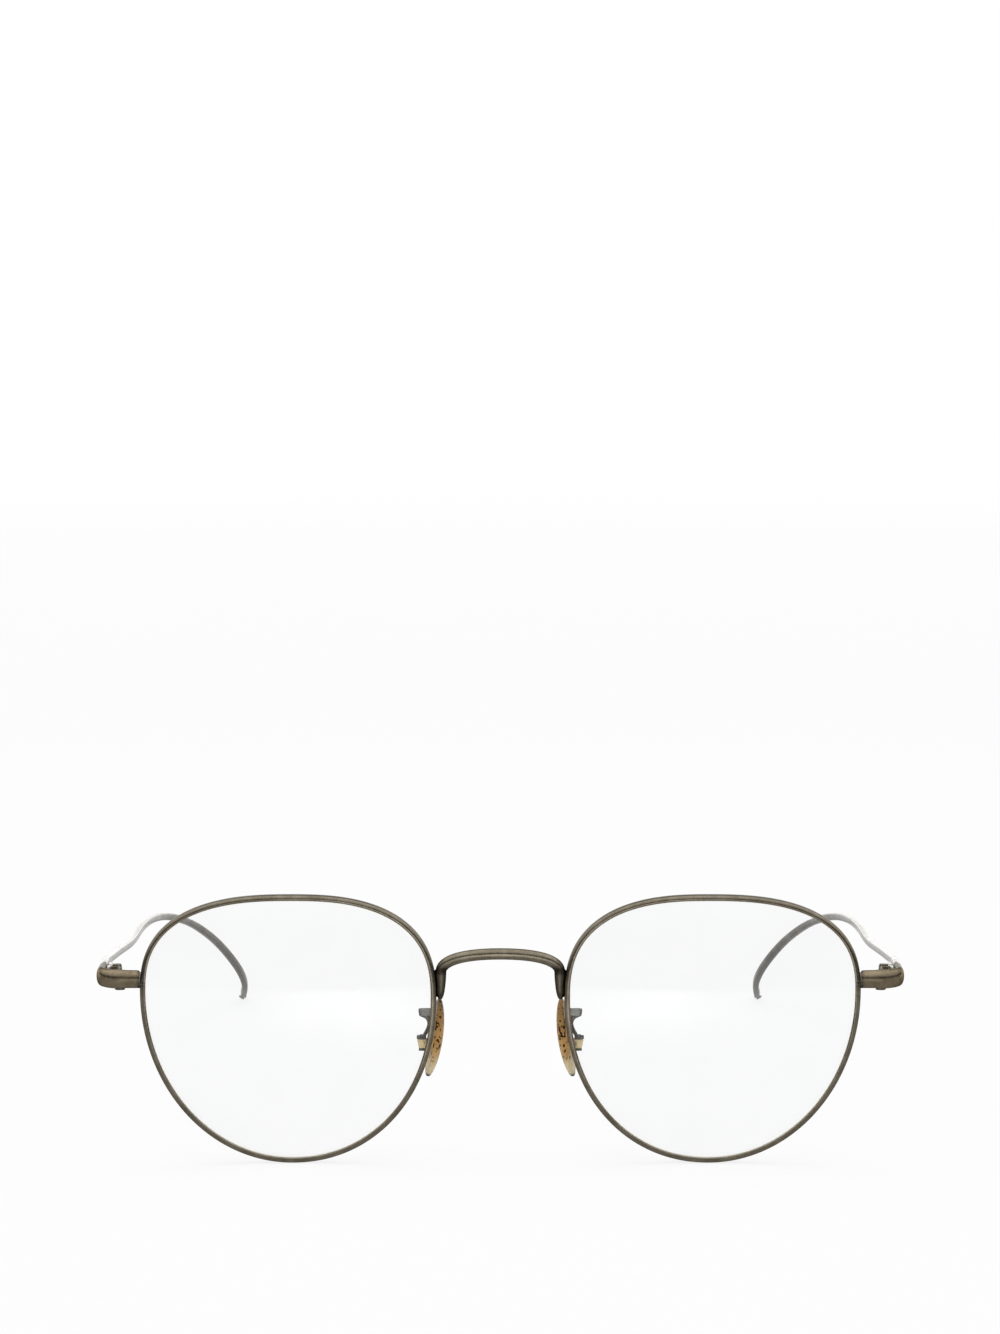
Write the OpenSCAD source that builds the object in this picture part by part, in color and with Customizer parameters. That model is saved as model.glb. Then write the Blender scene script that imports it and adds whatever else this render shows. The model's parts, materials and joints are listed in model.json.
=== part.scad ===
// Round wire-rim eyeglasses, standing open on the rims and the temple tips.
// The wearer looks towards -Y, so the wearer's left side is at +X.
// Every paired piece is drawn on the +X side and mirrored to the other.

/* [Lenses] */
// Width of each lens at its widest
lens_w = 47.8; // [42:0.1:54]
// Height of each lens
lens_h = 43.8; // [38:0.1:50]
// Gap between the two lenses at the nose
lens_gap = 22.1; // [18:0.1:26]
// How far the crown of each lens sits from its middle towards the nose
crown_shift = 0.58; // [0:0.01:2]
// Height from the crown down to the widest level, temple side
brow_out = 15.6; // [12:0.1:20]
// Height from the crown down to the widest level, nose side
brow_in = 16.7; // [12:0.1:20]
// Squareness of the upper corners, where 2 is an ellipse
brow_square = 2.53; // [2:0.01:3]
// Squareness of the lower corner on the temple side
cheek_square_out = 2; // [1.8:0.01:2.6]
// Squareness of the lower corner on the nose side
cheek_square_in = 2.11; // [1.8:0.01:2.6]
// Radius of the sphere that the lenses follow
lens_curve_r = 132; // [90:1:400]
// Thickness of each lens
lens_t = 1.6; // [1.2:0.1:2]
// Width of the bevel around each lens, at its foot
bevel_w = 0.84; // [0.6:0.02:0.9]
// Clearance between the bevel and the groove of the rim
lens_clear = 0.05; // [0.02:0.01:0.1]

/* [Rims] */
// Metal outside the edge of the lens
rim_wall = 0.54; // [0.4:0.01:0.8]
// Metal inside the edge of the lens, which holds the bevel
rim_lip = 0.4; // [0.38:0.01:0.5]
// Depth of the rims from front to back
rim_d = 2; // [1.8:0.1:3]
// How far the rounded front of the rims stands proud of its two edges
rim_edge = 0.3; // [0.1:0.05:0.4]
// Bevel along the rear edges of the rims
rim_back_edge = 0.2; // [0.1:0.05:0.3]
// Slit that splits each rim between its lock blocks
rim_slit = 0.1; // [0.05:0.05:0.3]

/* [Bridge] */
// Height from the lens crown down to the middle line of the bridge
bridge_drop = 9.3; // [8:0.1:10.5]
// Height of the bridge bar at the nose
bridge_h = 1.92; // [1.4:0.02:2.4]
// Depth of the bridge bar from front to back
bridge_d = 1.8; // [1.4:0.1:2.4]
// How far the bridge bows forwards
bridge_bow = 0.8; // [0:0.1:2]
// Half length of the flat crown of the bridge
bridge_flat = 7.1; // [4:0.1:8]
// How far the bridge goes on straight above the top of each leg
bridge_haunch = 3; // [2:0.1:3.5]
// Height from the lens crown down to the top of each leg
leg_top_drop = 12.9; // [12.5:0.1:14]
// Height from the lens crown down to the foot of each leg
leg_foot_drop = 17; // [15:0.1:19]
// Width of each leg at its top
leg_top_w = 1.85; // [1:0.05:2]
// Width of each leg at its foot
leg_foot_w = 1.1; // [0.6:0.05:1.4]

/* [End pieces] */
// Height from the lens crown down to the middle of the end pieces
end_drop = 13.65; // [13:0.05:16]
// Reach of each end piece outwards from the rim
end_out = 7.4; // [6.9:0.1:10]
// Reach of each end piece backwards to the temple
end_back = 9.4; // [7.6:0.1:14]
// How far the face of the end piece stands in front of the rim
end_proud = 0.15; // [0:0.05:0.4]
// Thickness of the end piece bar
end_t = 1.4; // [1.2:0.1:1.6]
// Height of the end piece next to the rim
end_neck_h = 2.95; // [2.6:0.05:3.2]
// Height of the end piece past its step
end_h = 3.2; // [3.2:0.05:4]
// Height of the end piece where the temple butts on it
end_tail_h = 2.4; // [2.2:0.05:3]
// Length of the neck between the rim and the step
end_neck = 2.8; // [1.5:0.1:2.9]
// Radius of the outer corner, to the middle of the bar
end_corner_r = 3.2; // [2.5:0.1:3.5]

/* [Rim locks] */
// Height of each of the two lock blocks
lock_h = 1.1; // [1:0.05:1.5]
// Depth of the lock blocks from front to back
lock_d = 2.3; // [2:0.05:2.6]
// How far the slit lies below the middle of the end piece
lock_drop = 0.5; // [0:0.1:0.6]
// How far the lock screw sits inwards from the start of the end piece's corner
lock_screw_in = 0.1; // [0:0.05:0.6]
// Diameter of the lock screw
lock_screw_d = 1.2; // [0.9:0.05:1.3]
// Diameter of the head of the lock screw
lock_head_d = 1.7; // [1.5:0.05:1.9]
// Height of the head of the lock screw
lock_head_h = 0.4; // [0.3:0.05:0.6]

/* [Hinges] */
// Outer diameter of the hinge barrels
barrel_d = 1.7; // [1.5:0.05:2]
// Distance of the hinge axis inwards from the middle of the temple
hinge_in = 2.3; // [2.1:0.05:3]
// How far the middle of the hinge lies below the middle of the end piece
hinge_drop = 0.4; // [0:0.05:0.4]
// Height of the upper and of the lower knuckle
outer_knuckle_h = 0.7; // [0.6:0.05:0.9]
// Height of the middle knuckle
mid_knuckle_h = 0.7; // [0.6:0.05:0.9]
// Running gap between the knuckles
knuckle_gap = 0.05; // [0.03:0.01:0.1]
// Diameter of the hinge screw
hinge_screw_d = 0.9; // [0.7:0.05:1]
// Diameter of the head of the hinge screw
hinge_head_d = 1.5; // [1.2:0.05:1.5]
// Height of the head of the hinge screw
hinge_head_h = 0.2; // [0.2:0.05:0.5]
// Thickness of the hinge leaves
leaf_t = 0.6; // [0.4:0.05:0.65]
// Height of the leaf on the temple
temple_leaf_h = 1.4; // [1:0.05:1.8]
// Length of the leaf on the end piece
front_leaf_len = 3.6; // [2.4:0.1:4]
// Length of the leaf on the temple
temple_leaf_len = 5; // [3:0.1:6]

/* [Temples] */
// Width of the temple wire
temple_w = 1.2; // [1:0.05:1.4]
// Height of the temple wire
temple_h = 1.4; // [1.2:0.05:2]
// Height of the flared root of the temple at the hinge
root_h = 2.2; // [2:0.05:2.6]
// Length of the straight root that carries the hinge leaf
root_len = 6; // [6:0.5:10]
// Depth from the hinge to the start of the ear bend
shank_len = 82; // [65:1:95]
// How far the temple comes in along the shank
shank_in = 2.28; // [0:0.02:5]
// How far the temple comes down along the shank
shank_drop = 6.25; // [3:0.05:9]
// Depth from the start of the ear bend to the tip
ear_reach = 48.6; // [40:0.2:54]
// How far the tip sits inwards from the start of the ear bend
ear_in = 14; // [6:0.2:18]

/* [Nose pads] */
// Height of each nose pad
pad_h = 13.6; // [11:0.1:15]
// Width of each nose pad from front to back
pad_w = 7.2; // [6:0.1:8]
// Thickness of each nose pad at its middle
pad_t = 2; // [1.8:0.1:2.4]
// Height from the lens crown down to the middle of the pads
pad_drop = 24.9; // [23.6:0.1:26]
// How far the back of each pad sits outside the nose edge of the lens
pad_out = 0.6; // [0:0.1:1.2]
// Distance of the middle of the pads behind the rims
pad_back = 7.9; // [7.4:0.1:9]
// Lean of the pads, lower ends apart, in degrees
pad_lean = 9; // [4:0.2:12]
// Turn of the pads, rear edges apart, in degrees
pad_turn = 8; // [2:0.5:14]
// Radius of the crown of the pad along its height
pad_crown_r = 24; // [18:0.5:40]
// Radius of the crown of the pad along its width
pad_cross_r = 12; // [9:0.5:30]
// How much narrower the pad is at its top than at its middle, as a share
pad_taper = 0.14; // [0:0.01:0.25]
// Length of the moulded lug behind the pad
lug_len = 2.35; // [2.3:0.05:2.6]
// Height of the lug
lug_h = 1.6; // [1.5:0.05:2.2]
// How far the middle of the lug lies below the middle of the pad
lug_drop = 1; // [0.6:0.05:1.5]
// How much shorter the lug is at its lower edge
lug_taper = 0.35; // [0:0.05:0.4]
// Thickness of the lug from front to back
lug_t = 1.4; // [1.35:0.05:1.5]
// Distance of the pad screw from the back of the pad
pin_out = 1.4; // [1.35:0.05:1.45]

/* [Pad arms] */
// Height from the lens crown down to the root of the pad arm
arm_drop = 19.3; // [18.6:0.1:20.2]
// Width of the flat arm
arm_w = 1.4; // [1.1:0.05:1.7]
// Thickness of the flat arm
arm_t = 0.6; // [0.4:0.05:0.65]
// How far the arm swings out behind the lens before it turns back to the pad
arm_swing = 2.3; // [2.1:0.1:2.6]
// Width of the arm where it joins the clip
arm_tail_w = 0.6; // [0.5:0.05:0.7]
// Thickness of the clip that holds the lug
clip_t = 0.3; // [0.3:0.05:0.4]
// Clearance between the lug and the clip
clip_clear = 0.05; // [0.03:0.01:0.1]
// Gap between the lug and the web of the clip, which lets the pad rock
web_gap = 0.25; // [0.25:0.05:0.35]
// Diameter of the pad screw
pad_screw_d = 0.7; // [0.5:0.05:0.75]
// Diameter of the head of the pad screw
pad_head_d = 1; // [0.9:0.05:1.05]
// Height of the head of the pad screw
pad_head_h = 0.3; // [0.2:0.05:0.5]

/* [Fits] */
// Radial clearance of the screws in their holes
screw_clear = 0.03; // [0.02:0.01:0.06]
// Gap at soldered seams and butting faces
seam = 0.03; // [0.02:0.01:0.06]

/* [Hidden] */
$fn = 32;

// Colours of the materials
rim_colour = [0.44, 0.41, 0.31];
bridge_colour = [0.5, 0.46, 0.37];
end_colour = [0.55, 0.5, 0.38];
lock_colour = [0.36, 0.33, 0.25];
hinge_colour = [0.46, 0.44, 0.4];
temple_colour = [0.56, 0.55, 0.52];
arm_colour = [0.5, 0.49, 0.45];
screw_colour = [0.3, 0.28, 0.24];
pad_colour = [0.73, 0.55, 0.3];
lens_colour = [0.85, 0.93, 0.95, 0.3];

// Width of the screw slots, and their depth as a share of the head
slot_w = 0.25;
slot_share = 0.4;

// Slope of the groove's sides, and the blunting of the bevel's tip
groove_slope = 1.1;
bevel_blunt = 0.02;

// Fullness of the rim's rounded front, where 1 is an ellipse and less is squarer
front_fullness = 0.8;

// Size of the blunt ends of bars and wires, as a share of the bar
blunt_share = 0.65;

// Share of the arch over which the bridge swells from the leg to its full height
swell_share = 0.35;

// Metal of the pad clip round the hole of its screw
clip_margin = 0.22;

// Steps of the swept shapes
outline_steps = 84;
bridge_steps = 14;
leg_steps = 5;
corner_steps = 9;
pad_steps = 28;
spline_steps = 4;

// Lens outline: four quarters of superellipses that meet at the crown and the foot
lens_x = lens_gap / 2 + lens_w / 2;
lens_z = rim_wall + lens_h / 2;
crown_z = rim_wall + lens_h;
pole_x = lens_x - crown_shift;
half_out = lens_w / 2 + crown_shift;
half_in = lens_w / 2 - crown_shift;
wide_z_out = crown_z - brow_out;
wide_z_in = crown_z - brow_in;
foot_z = rim_wall;

function outline_a(t) = cos(t) >= 0 ? half_out : half_in;
function outline_mid(t) = cos(t) >= 0 ? wide_z_out : wide_z_in;
function outline_b(t) = sin(t) >= 0 ? crown_z - outline_mid(t) : outline_mid(t) - foot_z;
function outline_n(t) = sin(t) >= 0 ? brow_square : (cos(t) >= 0 ? cheek_square_out : cheek_square_in);

// Point [x, z] of the lens edge at the angle t, moved outwards by grow
function outline(t, grow) =
  let (
    a = outline_a(t),
    b = outline_b(t),
    n = outline_n(t),
    c = cos(t),
    s = sin(t),
    nx = sign(c) * pow(abs(c), 2 - 2 / n) / a,
    nz = sign(s) * pow(abs(s), 2 - 2 / n) / b,
    l = norm([nx, nz])
  )
  [
    pole_x + a * sign(c) * pow(abs(c), 2 / n) + grow * nx / l,
    outline_mid(t) + b * sign(s) * pow(abs(s), 2 / n) + grow * nz / l
  ];

// Angle at which the outline passes the height z, on the temple side and on the nose side
function angle_out(z) =
  z >= wide_z_out
    ? asin(pow((z - wide_z_out) / (crown_z - wide_z_out), brow_square / 2))
    : -asin(pow((wide_z_out - z) / (wide_z_out - foot_z), cheek_square_out / 2));
function angle_in(z) =
  z >= wide_z_in
    ? 180 - asin(pow((z - wide_z_in) / (crown_z - wide_z_in), brow_square / 2))
    : 180 + asin(pow((wide_z_in - z) / (wide_z_in - foot_z), cheek_square_in / 2));

// Depth of the lens sphere at [x, z]; zero at the widest point of the lens
function sag(r) = lens_curve_r - sqrt(lens_curve_r * lens_curve_r - r * r);
function sphere_y(p) = sag(norm([p.x - lens_x, p.y - lens_z])) - sag(lens_w / 2);

// Places that several pieces share
rim_out_x = lens_gap / 2 + lens_w + rim_wall;
end_z = crown_z - end_drop;
end_root_y = sphere_y([rim_out_x, end_z]);
end_front_y = end_root_y - rim_d / 2 - end_proud;
end_mid_y = end_front_y + end_t / 2;
end_inner_y = end_front_y + end_t;
end_mid_x = rim_out_x + end_out - end_t / 2;
hinge_y = end_front_y + end_back;
hinge_x = end_mid_x - hinge_in;
hinge_z = end_z - hinge_drop;
lock_z = end_z - lock_drop;
lock_x = rim_out_x + seam;
lock_y = end_inner_y + seam;
lock_screw_x = end_mid_x - end_corner_r - lock_screw_in;
lock_screw_y = lock_y + lock_d / 2;
lock_base_z = lock_z - rim_slit / 2 - lock_h;
barrel_h = 2 * outer_knuckle_h + mid_knuckle_h + 2 * knuckle_gap;
barrel_base_z = hinge_z - barrel_h / 2;
root_end_y = hinge_y + root_len;
temple_inner_x = end_mid_x - temple_w / 2;
end_leg_inner_x = end_mid_x - end_t / 2;
pad_x = lens_gap / 2 + pad_out;
pad_z = crown_z - pad_drop;
pin_x = pad_x + pin_out;
pin_y = pad_back;
lug_top_z = pad_z - lug_drop + lug_h / 2;
clip_h = lug_h + 2 * clip_clear + 2 * clip_t;
clip_base_z = lug_top_z - lug_h - clip_clear - clip_t;
clip_top_z = clip_base_z + clip_h;
clip_web_y = pin_y + lug_t / 2 + web_gap;
clip_x = pin_x - pad_screw_d / 2 - screw_clear - clip_margin;

// Vectors and curves
function unit(v) = v / norm(v);
function bezier(a, b, c, d, t) =
  pow(1 - t, 3) * a + 3 * pow(1 - t, 2) * t * b + 3 * (1 - t) * t * t * c + pow(t, 3) * d;
function spline_point(p0, p1, p2, p3, t) =
  0.5 * (2 * p1 + (p2 - p0) * t + (2 * p0 - 5 * p1 + 4 * p2 - p3) * t * t
    + (3 * p1 - p0 - 3 * p2 + p3) * t * t * t);

// Smooth curve through the knots that starts along +Y
function spline(knots, steps) =
  let (last = len(knots) - 1, before = [knots[1].x, 2 * knots[0].y - knots[1].y, knots[1].z])
  [
    for (i = [0:last - 1], k = [0:steps - 1])
      spline_point(i == 0 ? before : knots[i - 1], knots[i], knots[i + 1], knots[min(i + 2, last)], k / steps),
    knots[last]
  ];
function tangent(path, i) = unit(path[min(i + 1, len(path) - 1)] - path[max(i - 1, 0)]);

// A ring of points: the section's points laid along two directions
function ring(p, u, v, section) = [for (q = section) p + q.x * u + q.y * v];
function sized(section, w, h) = [for (q = section) [q.x * w, q.y * h]];
function mean(points) = [for (k = [0:2]) [for (p = points) p[k]] * [for (p = points) 1] / len(points)];

// Round bar section of unit width and height
function round_section(n, square) =
  [for (i = [0:n - 1]) let (c = cos(360 * (i + 0.5) / n), s = sin(360 * (i + 0.5) / n))
    [sign(c) * pow(abs(c), 2 / square) / 2, sign(s) * pow(abs(s), 2 / square) / 2]];

// Closed skin over a row of rings, with both ends closed by a fan
module skin(rings) {
  n = len(rings[0]);
  m = len(rings);
  points = concat([mean(rings[0])], [for (r = rings) each r], [mean(rings[m - 1])]);
  last = n * m + 1;
  sides = [
    for (i = [0:m - 2], j = [0:n - 1])
      let (a = 1 + i * n + j, b = 1 + i * n + (j + 1) % n, c = b + n, d = a + n)
      each [[a, b, c], [a, c, d]]
  ];
  start = [for (j = [0:n - 1]) [0, 1 + (j + 1) % n, 1 + j]];
  end = [for (j = [0:n - 1]) [last, 1 + (m - 1) * n + j, 1 + (m - 1) * n + (j + 1) % n]];
  polyhedron(points = points, faces = concat(start, sides, end), convexity = 6);
}

// Cutter for a hole that a screw runs in, from the bottom face of a piece upwards
module through_hole(h, screw_d) {
  translate([0, 0, -1]) cylinder(h = h + 2, d = screw_d + 2 * screw_clear);
}

// Rim: a channel swept round the lens, open at the slit between the lock blocks
module rim() {
  half = rim_d / 2;
  middle = (rim_wall - rim_lip) / 2;
  face = (rim_wall + rim_lip) / 2;
  mouth = (rim_lip + lens_clear) * groove_slope;
  front = [
    for (a = [180:30:360])
      [
        middle + face * sign(cos(a)) * pow(abs(cos(a)), front_fullness),
        -half + rim_edge * (1 - pow(abs(sin(a)), front_fullness))
      ]
  ];
  section = concat(front, [
    [rim_wall, half - rim_back_edge],
    [rim_wall - rim_back_edge, half],
    [-rim_lip + rim_back_edge, half],
    [-rim_lip, half - rim_back_edge],
    [-rim_lip, mouth],
    [lens_clear, 0],
    [-rim_lip, -mouth]
  ]);
  first = angle_out(lock_z - rim_slit / 2) + 360;
  last = angle_out(lock_z + rim_slit / 2);
  rings = [
    for (i = [0:outline_steps])
      let (t = first + (last - first) * i / outline_steps)
      [for (q = section) let (p = outline(t, q.x)) [p.x, sphere_y(p) + q.y, p.y]]
  ];
  color(rim_colour) skin(rings);
}

// Lens: two parallel spheres with a pointed bevel round the edge
module lens() {
  body = -rim_lip - lens_clear;
  shoulder = bevel_w / 2;
  spread = [0.05, 0.35, 0.65, 0.88, 1];
  function lens_ring(k, grow, y) =
    [for (i = [0:outline_steps - 1])
      let (p = outline(360 * i / outline_steps, grow), q = [lens_x, lens_z] + k * (p - [lens_x, lens_z]))
      [q.x, sphere_y(q) + y, q.y]];
  function edge_ring(grow, y) =
    [for (i = [0:outline_steps - 1])
      let (p = outline(360 * i / outline_steps, grow))
      [p.x, sphere_y(p) + y, p.y]];
  rings = concat(
    [for (k = spread) lens_ring(k, body, -lens_t / 2)],
    [edge_ring(body, -shoulder), edge_ring(-bevel_blunt, 0), edge_ring(body, shoulder)],
    [for (i = [len(spread) - 1:-1:0]) lens_ring(spread[i], body, lens_t / 2)]
  );
  color(lens_colour) skin(rings);
}

// Bridge: an arched bar whose legs run down the nose side of both rims
module bridge_bar() {
  bar_top_z = crown_z - bridge_drop + bridge_h / 2;
  spring_z = crown_z - leg_top_drop;
  low_z = crown_z - leg_foot_drop;
  leg_step = (spring_z - low_z) / leg_steps;
  base_y = sphere_y(outline(180, 0));
  bow_y = base_y - bridge_bow;
  function by_rim(z, out) =
    let (p = outline(angle_in(z), rim_wall + seam + out)) [p.x, base_y, p.y];
  legs = [
    for (i = [0:leg_steps - 1])
      let (w = leg_foot_w + (leg_top_w - leg_foot_w) * i / leg_steps)
      [by_rim(low_z + i * leg_step, w / 2), w]
  ];
  spring_point = by_rim(spring_z, 0);
  rise = unit(spring_point - by_rim(spring_z - leg_step, 0));
  function upper_edge(k) =
    bezier(spring_point, spring_point + bridge_haunch * rise,
      [bridge_flat, bow_y, bar_top_z], [0, bow_y, bar_top_z], k);
  function inwards(k) =
    let (t = upper_edge(k + 0.01) - upper_edge(k - 0.01)) unit([-t.z, 0, t.x]);
  arch = [
    for (i = [0:bridge_steps])
      let (
        k = i / bridge_steps,
        w = leg_top_w + (bridge_h - leg_top_w) * sin(90 * min(1, k / swell_share))
      )
      [upper_edge(k) + w / 2 * inwards(k), w]
  ];
  half = concat(legs, arch);
  n = len(half);
  both = concat(half, [for (i = [n - 2:-1:0]) [[-half[i][0].x, half[i][0].y, half[i][0].z], half[i][1]]]);
  path = [for (q = both) q[0]];
  tips = len(both) - 1;
  shape = round_section(12, 2.8);
  rings = [
    for (i = [0:tips])
      let (
        t = tangent(path, i),
        u = unit([-t.z, 0, t.x]),
        end_scale = i == 0 || i == tips ? blunt_share : 1
      )
      ring(path[i], u, [0, 1, 0], sized(shape, both[i][1] * end_scale, bridge_d * end_scale))
  ];
  color(bridge_colour) skin(rings);
}

// End piece: a bar with a convex face that leaves the rim and turns back to the temple
module end_piece() {
  start_x = rim_out_x + seam;
  turn_x = end_mid_x - end_corner_r;
  turn_y = end_mid_y + end_corner_r;
  step_x = rim_out_x + end_neck;
  lead = 0.2;
  h_turn = (end_h + end_neck_h) / 2;
  shape = [
    [-0.5, -0.4], [-0.4, -0.5], [0.05, -0.5], [0.3, -0.42], [0.45, -0.24], [0.5, 0],
    [0.45, 0.24], [0.3, 0.42], [0.05, 0.5], [-0.4, 0.5], [-0.5, 0.4]
  ];
  front = [
    [start_x, end_neck_h - lead],
    [start_x + lead, end_neck_h],
    [step_x - lead, end_neck_h],
    [step_x, end_h]
  ];
  plan = concat(
    [for (q = front) [[q[0], end_mid_y, end_z], 0, q[1]]],
    [for (i = [0:corner_steps]) let (a = 90 * i / corner_steps)
      [[turn_x + end_corner_r * sin(a), turn_y - end_corner_r * cos(a), end_z], a,
        end_h + (h_turn - end_h) * i / corner_steps]],
    [for (k = [0.35, 0.7, 1])
      [[end_mid_x, turn_y + (hinge_y - seam / 2 - turn_y) * k, end_z], 90, h_turn + (end_tail_h - h_turn) * k]]
  );
  rings = [for (q = plan) ring(q[0], [sin(q[1]), -cos(q[1]), 0], [0, 0, 1], sized(shape, end_t, q[2]))];
  color(end_colour) skin(rings);
}

// Lock block: clamps one end of the rim wire, with a round end about the screw
module lock_block(z) {
  color(lock_colour) difference() {
    union() {
      translate([lock_x, lock_y, z]) cube([lock_screw_x - lock_x, lock_d, lock_h]);
      translate([lock_screw_x, lock_screw_y, z]) cylinder(h = lock_h, d = lock_d);
    }
    translate([lock_screw_x, lock_screw_y, z]) through_hole(lock_h, lock_screw_d);
  }
}

// Screw that stands on its head: shank upwards, slotted head below
module screw(shank_d, shank_h, head_d, head_h) {
  cylinder(h = shank_h, d = shank_d);
  translate([0, 0, -head_h]) difference() {
    cylinder(h = head_h, d = head_d);
    translate([-head_d, -slot_w / 2, -1]) cube([2 * head_d, slot_w, 1 + head_h * slot_share]);
  }
}

module lock_screw() {
  color(screw_colour)
    translate([lock_screw_x, lock_screw_y, lock_base_z])
      screw(lock_screw_d, 2 * lock_h + rim_slit, lock_head_d, lock_head_h);
}

// Leaf on the end piece: a plate with the upper and the lower knuckle
module front_hinge_leaf() {
  plate_x = end_leg_inner_x - seam - leaf_t;
  color(hinge_colour) difference() {
    union() {
      translate([plate_x, hinge_y - seam / 2 - front_leaf_len, barrel_base_z])
        cube([leaf_t, front_leaf_len, barrel_h]);
      translate([hinge_x, hinge_y - barrel_d / 2, barrel_base_z])
        cube([plate_x + leaf_t - hinge_x, barrel_d / 2 - seam / 2, barrel_h]);
      translate([hinge_x, hinge_y, barrel_base_z]) cylinder(h = barrel_h, d = barrel_d);
    }
    translate([hinge_x, hinge_y, barrel_base_z]) through_hole(barrel_h, hinge_screw_d);
    translate([hinge_x, hinge_y, barrel_base_z + outer_knuckle_h])
      cylinder(h = mid_knuckle_h + 2 * knuckle_gap, d = barrel_d + 4 * knuckle_gap);
  }
}

// Leaf on the temple: a plate along the root with the middle knuckle
module temple_hinge_leaf() {
  plate_x = temple_inner_x - seam - leaf_t;
  knuckle_z = barrel_base_z + outer_knuckle_h + knuckle_gap;
  plate_start = barrel_d / 2 + 2 * knuckle_gap;
  color(hinge_colour) difference() {
    union() {
      translate([plate_x, hinge_y + plate_start, hinge_z - temple_leaf_h / 2])
        cube([leaf_t, temple_leaf_len - plate_start, temple_leaf_h]);
      translate([hinge_x, hinge_y, knuckle_z])
        cube([plate_x + leaf_t - hinge_x, barrel_d / 2, mid_knuckle_h]);
      translate([plate_x, hinge_y + seam, knuckle_z])
        cube([leaf_t, plate_start + leaf_t, mid_knuckle_h]);
      translate([hinge_x, hinge_y, knuckle_z]) cylinder(h = mid_knuckle_h, d = barrel_d);
    }
    translate([hinge_x, hinge_y, knuckle_z]) through_hole(mid_knuckle_h, hinge_screw_d);
  }
}

module hinge_screw() {
  color(screw_colour)
    translate([hinge_x, hinge_y, barrel_base_z + barrel_h])
      mirror([0, 0, 1]) screw(hinge_screw_d, barrel_h, hinge_head_d, hinge_head_h);
}

// Route of the temple past its straight root, in shares: [depth, inwards, down]
shank_knots = [
  [0, 0, 0], [0.14, -0.38, 0.28], [0.37, -0.12, 0.545],
  [0.6, 0.37, 0.765], [0.83, 0.56, 0.87], [1, 1, 1]
];
ear_knots = [
  [0.22, 0.155, 0.06], [0.4, 0.405, 0.175], [0.57, 0.705, 0.38],
  [0.715, 0.955, 0.63], [0.85, 1.05, 0.83], [1, 1, 1]
];
function route(ear_fall) = concat(
  [for (q = shank_knots)
    [end_mid_x - q[1] * shank_in, root_end_y + q[0] * (shank_len - root_len), end_z - q[2] * shank_drop]],
  [for (q = ear_knots)
    [end_mid_x - shank_in - q[1] * ear_in, hinge_y + shank_len + q[0] * ear_reach,
      end_z - shank_drop - q[2] * ear_fall]]
);
function temple_path(ear_fall) =
  concat([[end_mid_x, hinge_y + seam / 2, end_z]], spline(route(ear_fall), spline_steps));
function temple_rings(ear_fall) =
  let (path = temple_path(ear_fall), n = len(path), shape = round_section(12, 4))
  [
    for (i = [0:n])
      let (
        k = min(i, n - 1),
        t = i < 2 ? [0, 1, 0] : tangent(path, k),
        side = unit(cross(t, [0, 0, 1])),
        top = cross(side, t),
        flare = max(0, 1 - (path[k].y - hinge_y) / (1.8 * root_len)),
        h = temple_h + (root_h - temple_h) * flare,
        cap = i == n ? blunt_share : 1,
        ahead = i == n ? temple_h * (1 - blunt_share) / 2 : 0
      )
      ring(path[k] + ahead * t, side, top, sized(shape, temple_w * cap, h * cap))
  ];
function lowest(rings) = min([for (r = rings, p = r) p.z]);
full_fall = end_z - shank_drop;
ear_drop = full_fall + lowest(temple_rings(full_fall));

// Temple: one wire from the hinge over the ear to the tip, which rests on the table
module temple() {
  color(temple_colour) skin(temple_rings(ear_drop));
}

// Route of the pad arm between the rim and the clip, in shares: [outwards, backwards, down]
arm_knots = [
  [0.47, 0.11, 0.03], [0.94, 0.2, 0.06], [0.93, 0.36, 0.12],
  [0.52, 0.49, 0.25], [0.36, 0.63, 0.47], [0.46, 0.87, 0.74], [0.6, 0.98, 0.9]
];

// The wide direction of a flat strip at step i, carried along the path without a twist
function carried(path, i) =
  i == 0
    ? [0, 0, -1]
    : let (before = carried(path, i - 1), t = tangent(path, i)) unit(before - (before * t) * t);

// Pad arm: a flat strip from the rim, out behind the lens, back to the pad and down to the clip
module pad_arm() {
  root_angle = angle_in(crown_z - arm_drop);
  root = outline(root_angle, (rim_wall - rim_lip) / 2);
  root_y = sphere_y(outline(root_angle, rim_wall - rim_back_edge)) + rim_d / 2 + seam;
  start = [root.x, root_y, root.y];
  tail = [clip_x + arm_t / 2, clip_web_y + clip_t - arm_tail_w / 2, clip_top_z + seam];
  run = [arm_swing, tail.y - start.y, tail.z - start.z];
  knots = [for (q = arm_knots) [start.x + q[0] * run.x, start.y + q[1] * run.y, start.z + q[2] * run.z]];
  path = spline(concat([start], knots, [tail]), spline_steps);
  n = len(path) - 1;
  shape = round_section(8, 4);
  rings = [
    for (i = [0:n])
      let (
        t = i == 0 ? [0, 1, 0] : (i == n ? [0, 0, -1] : tangent(path, i)),
        wide = i == n ? [0, sign(carried(path, n).y), 0] : carried(path, i),
        thin = cross(wide, t),
        w = arm_w + (arm_tail_w - arm_w) * max(0, 2 * i / n - 1)
      )
      ring(path[i], wide, thin, sized(shape, w, arm_t))
  ];
  color(arm_colour) skin(rings);
}

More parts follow.
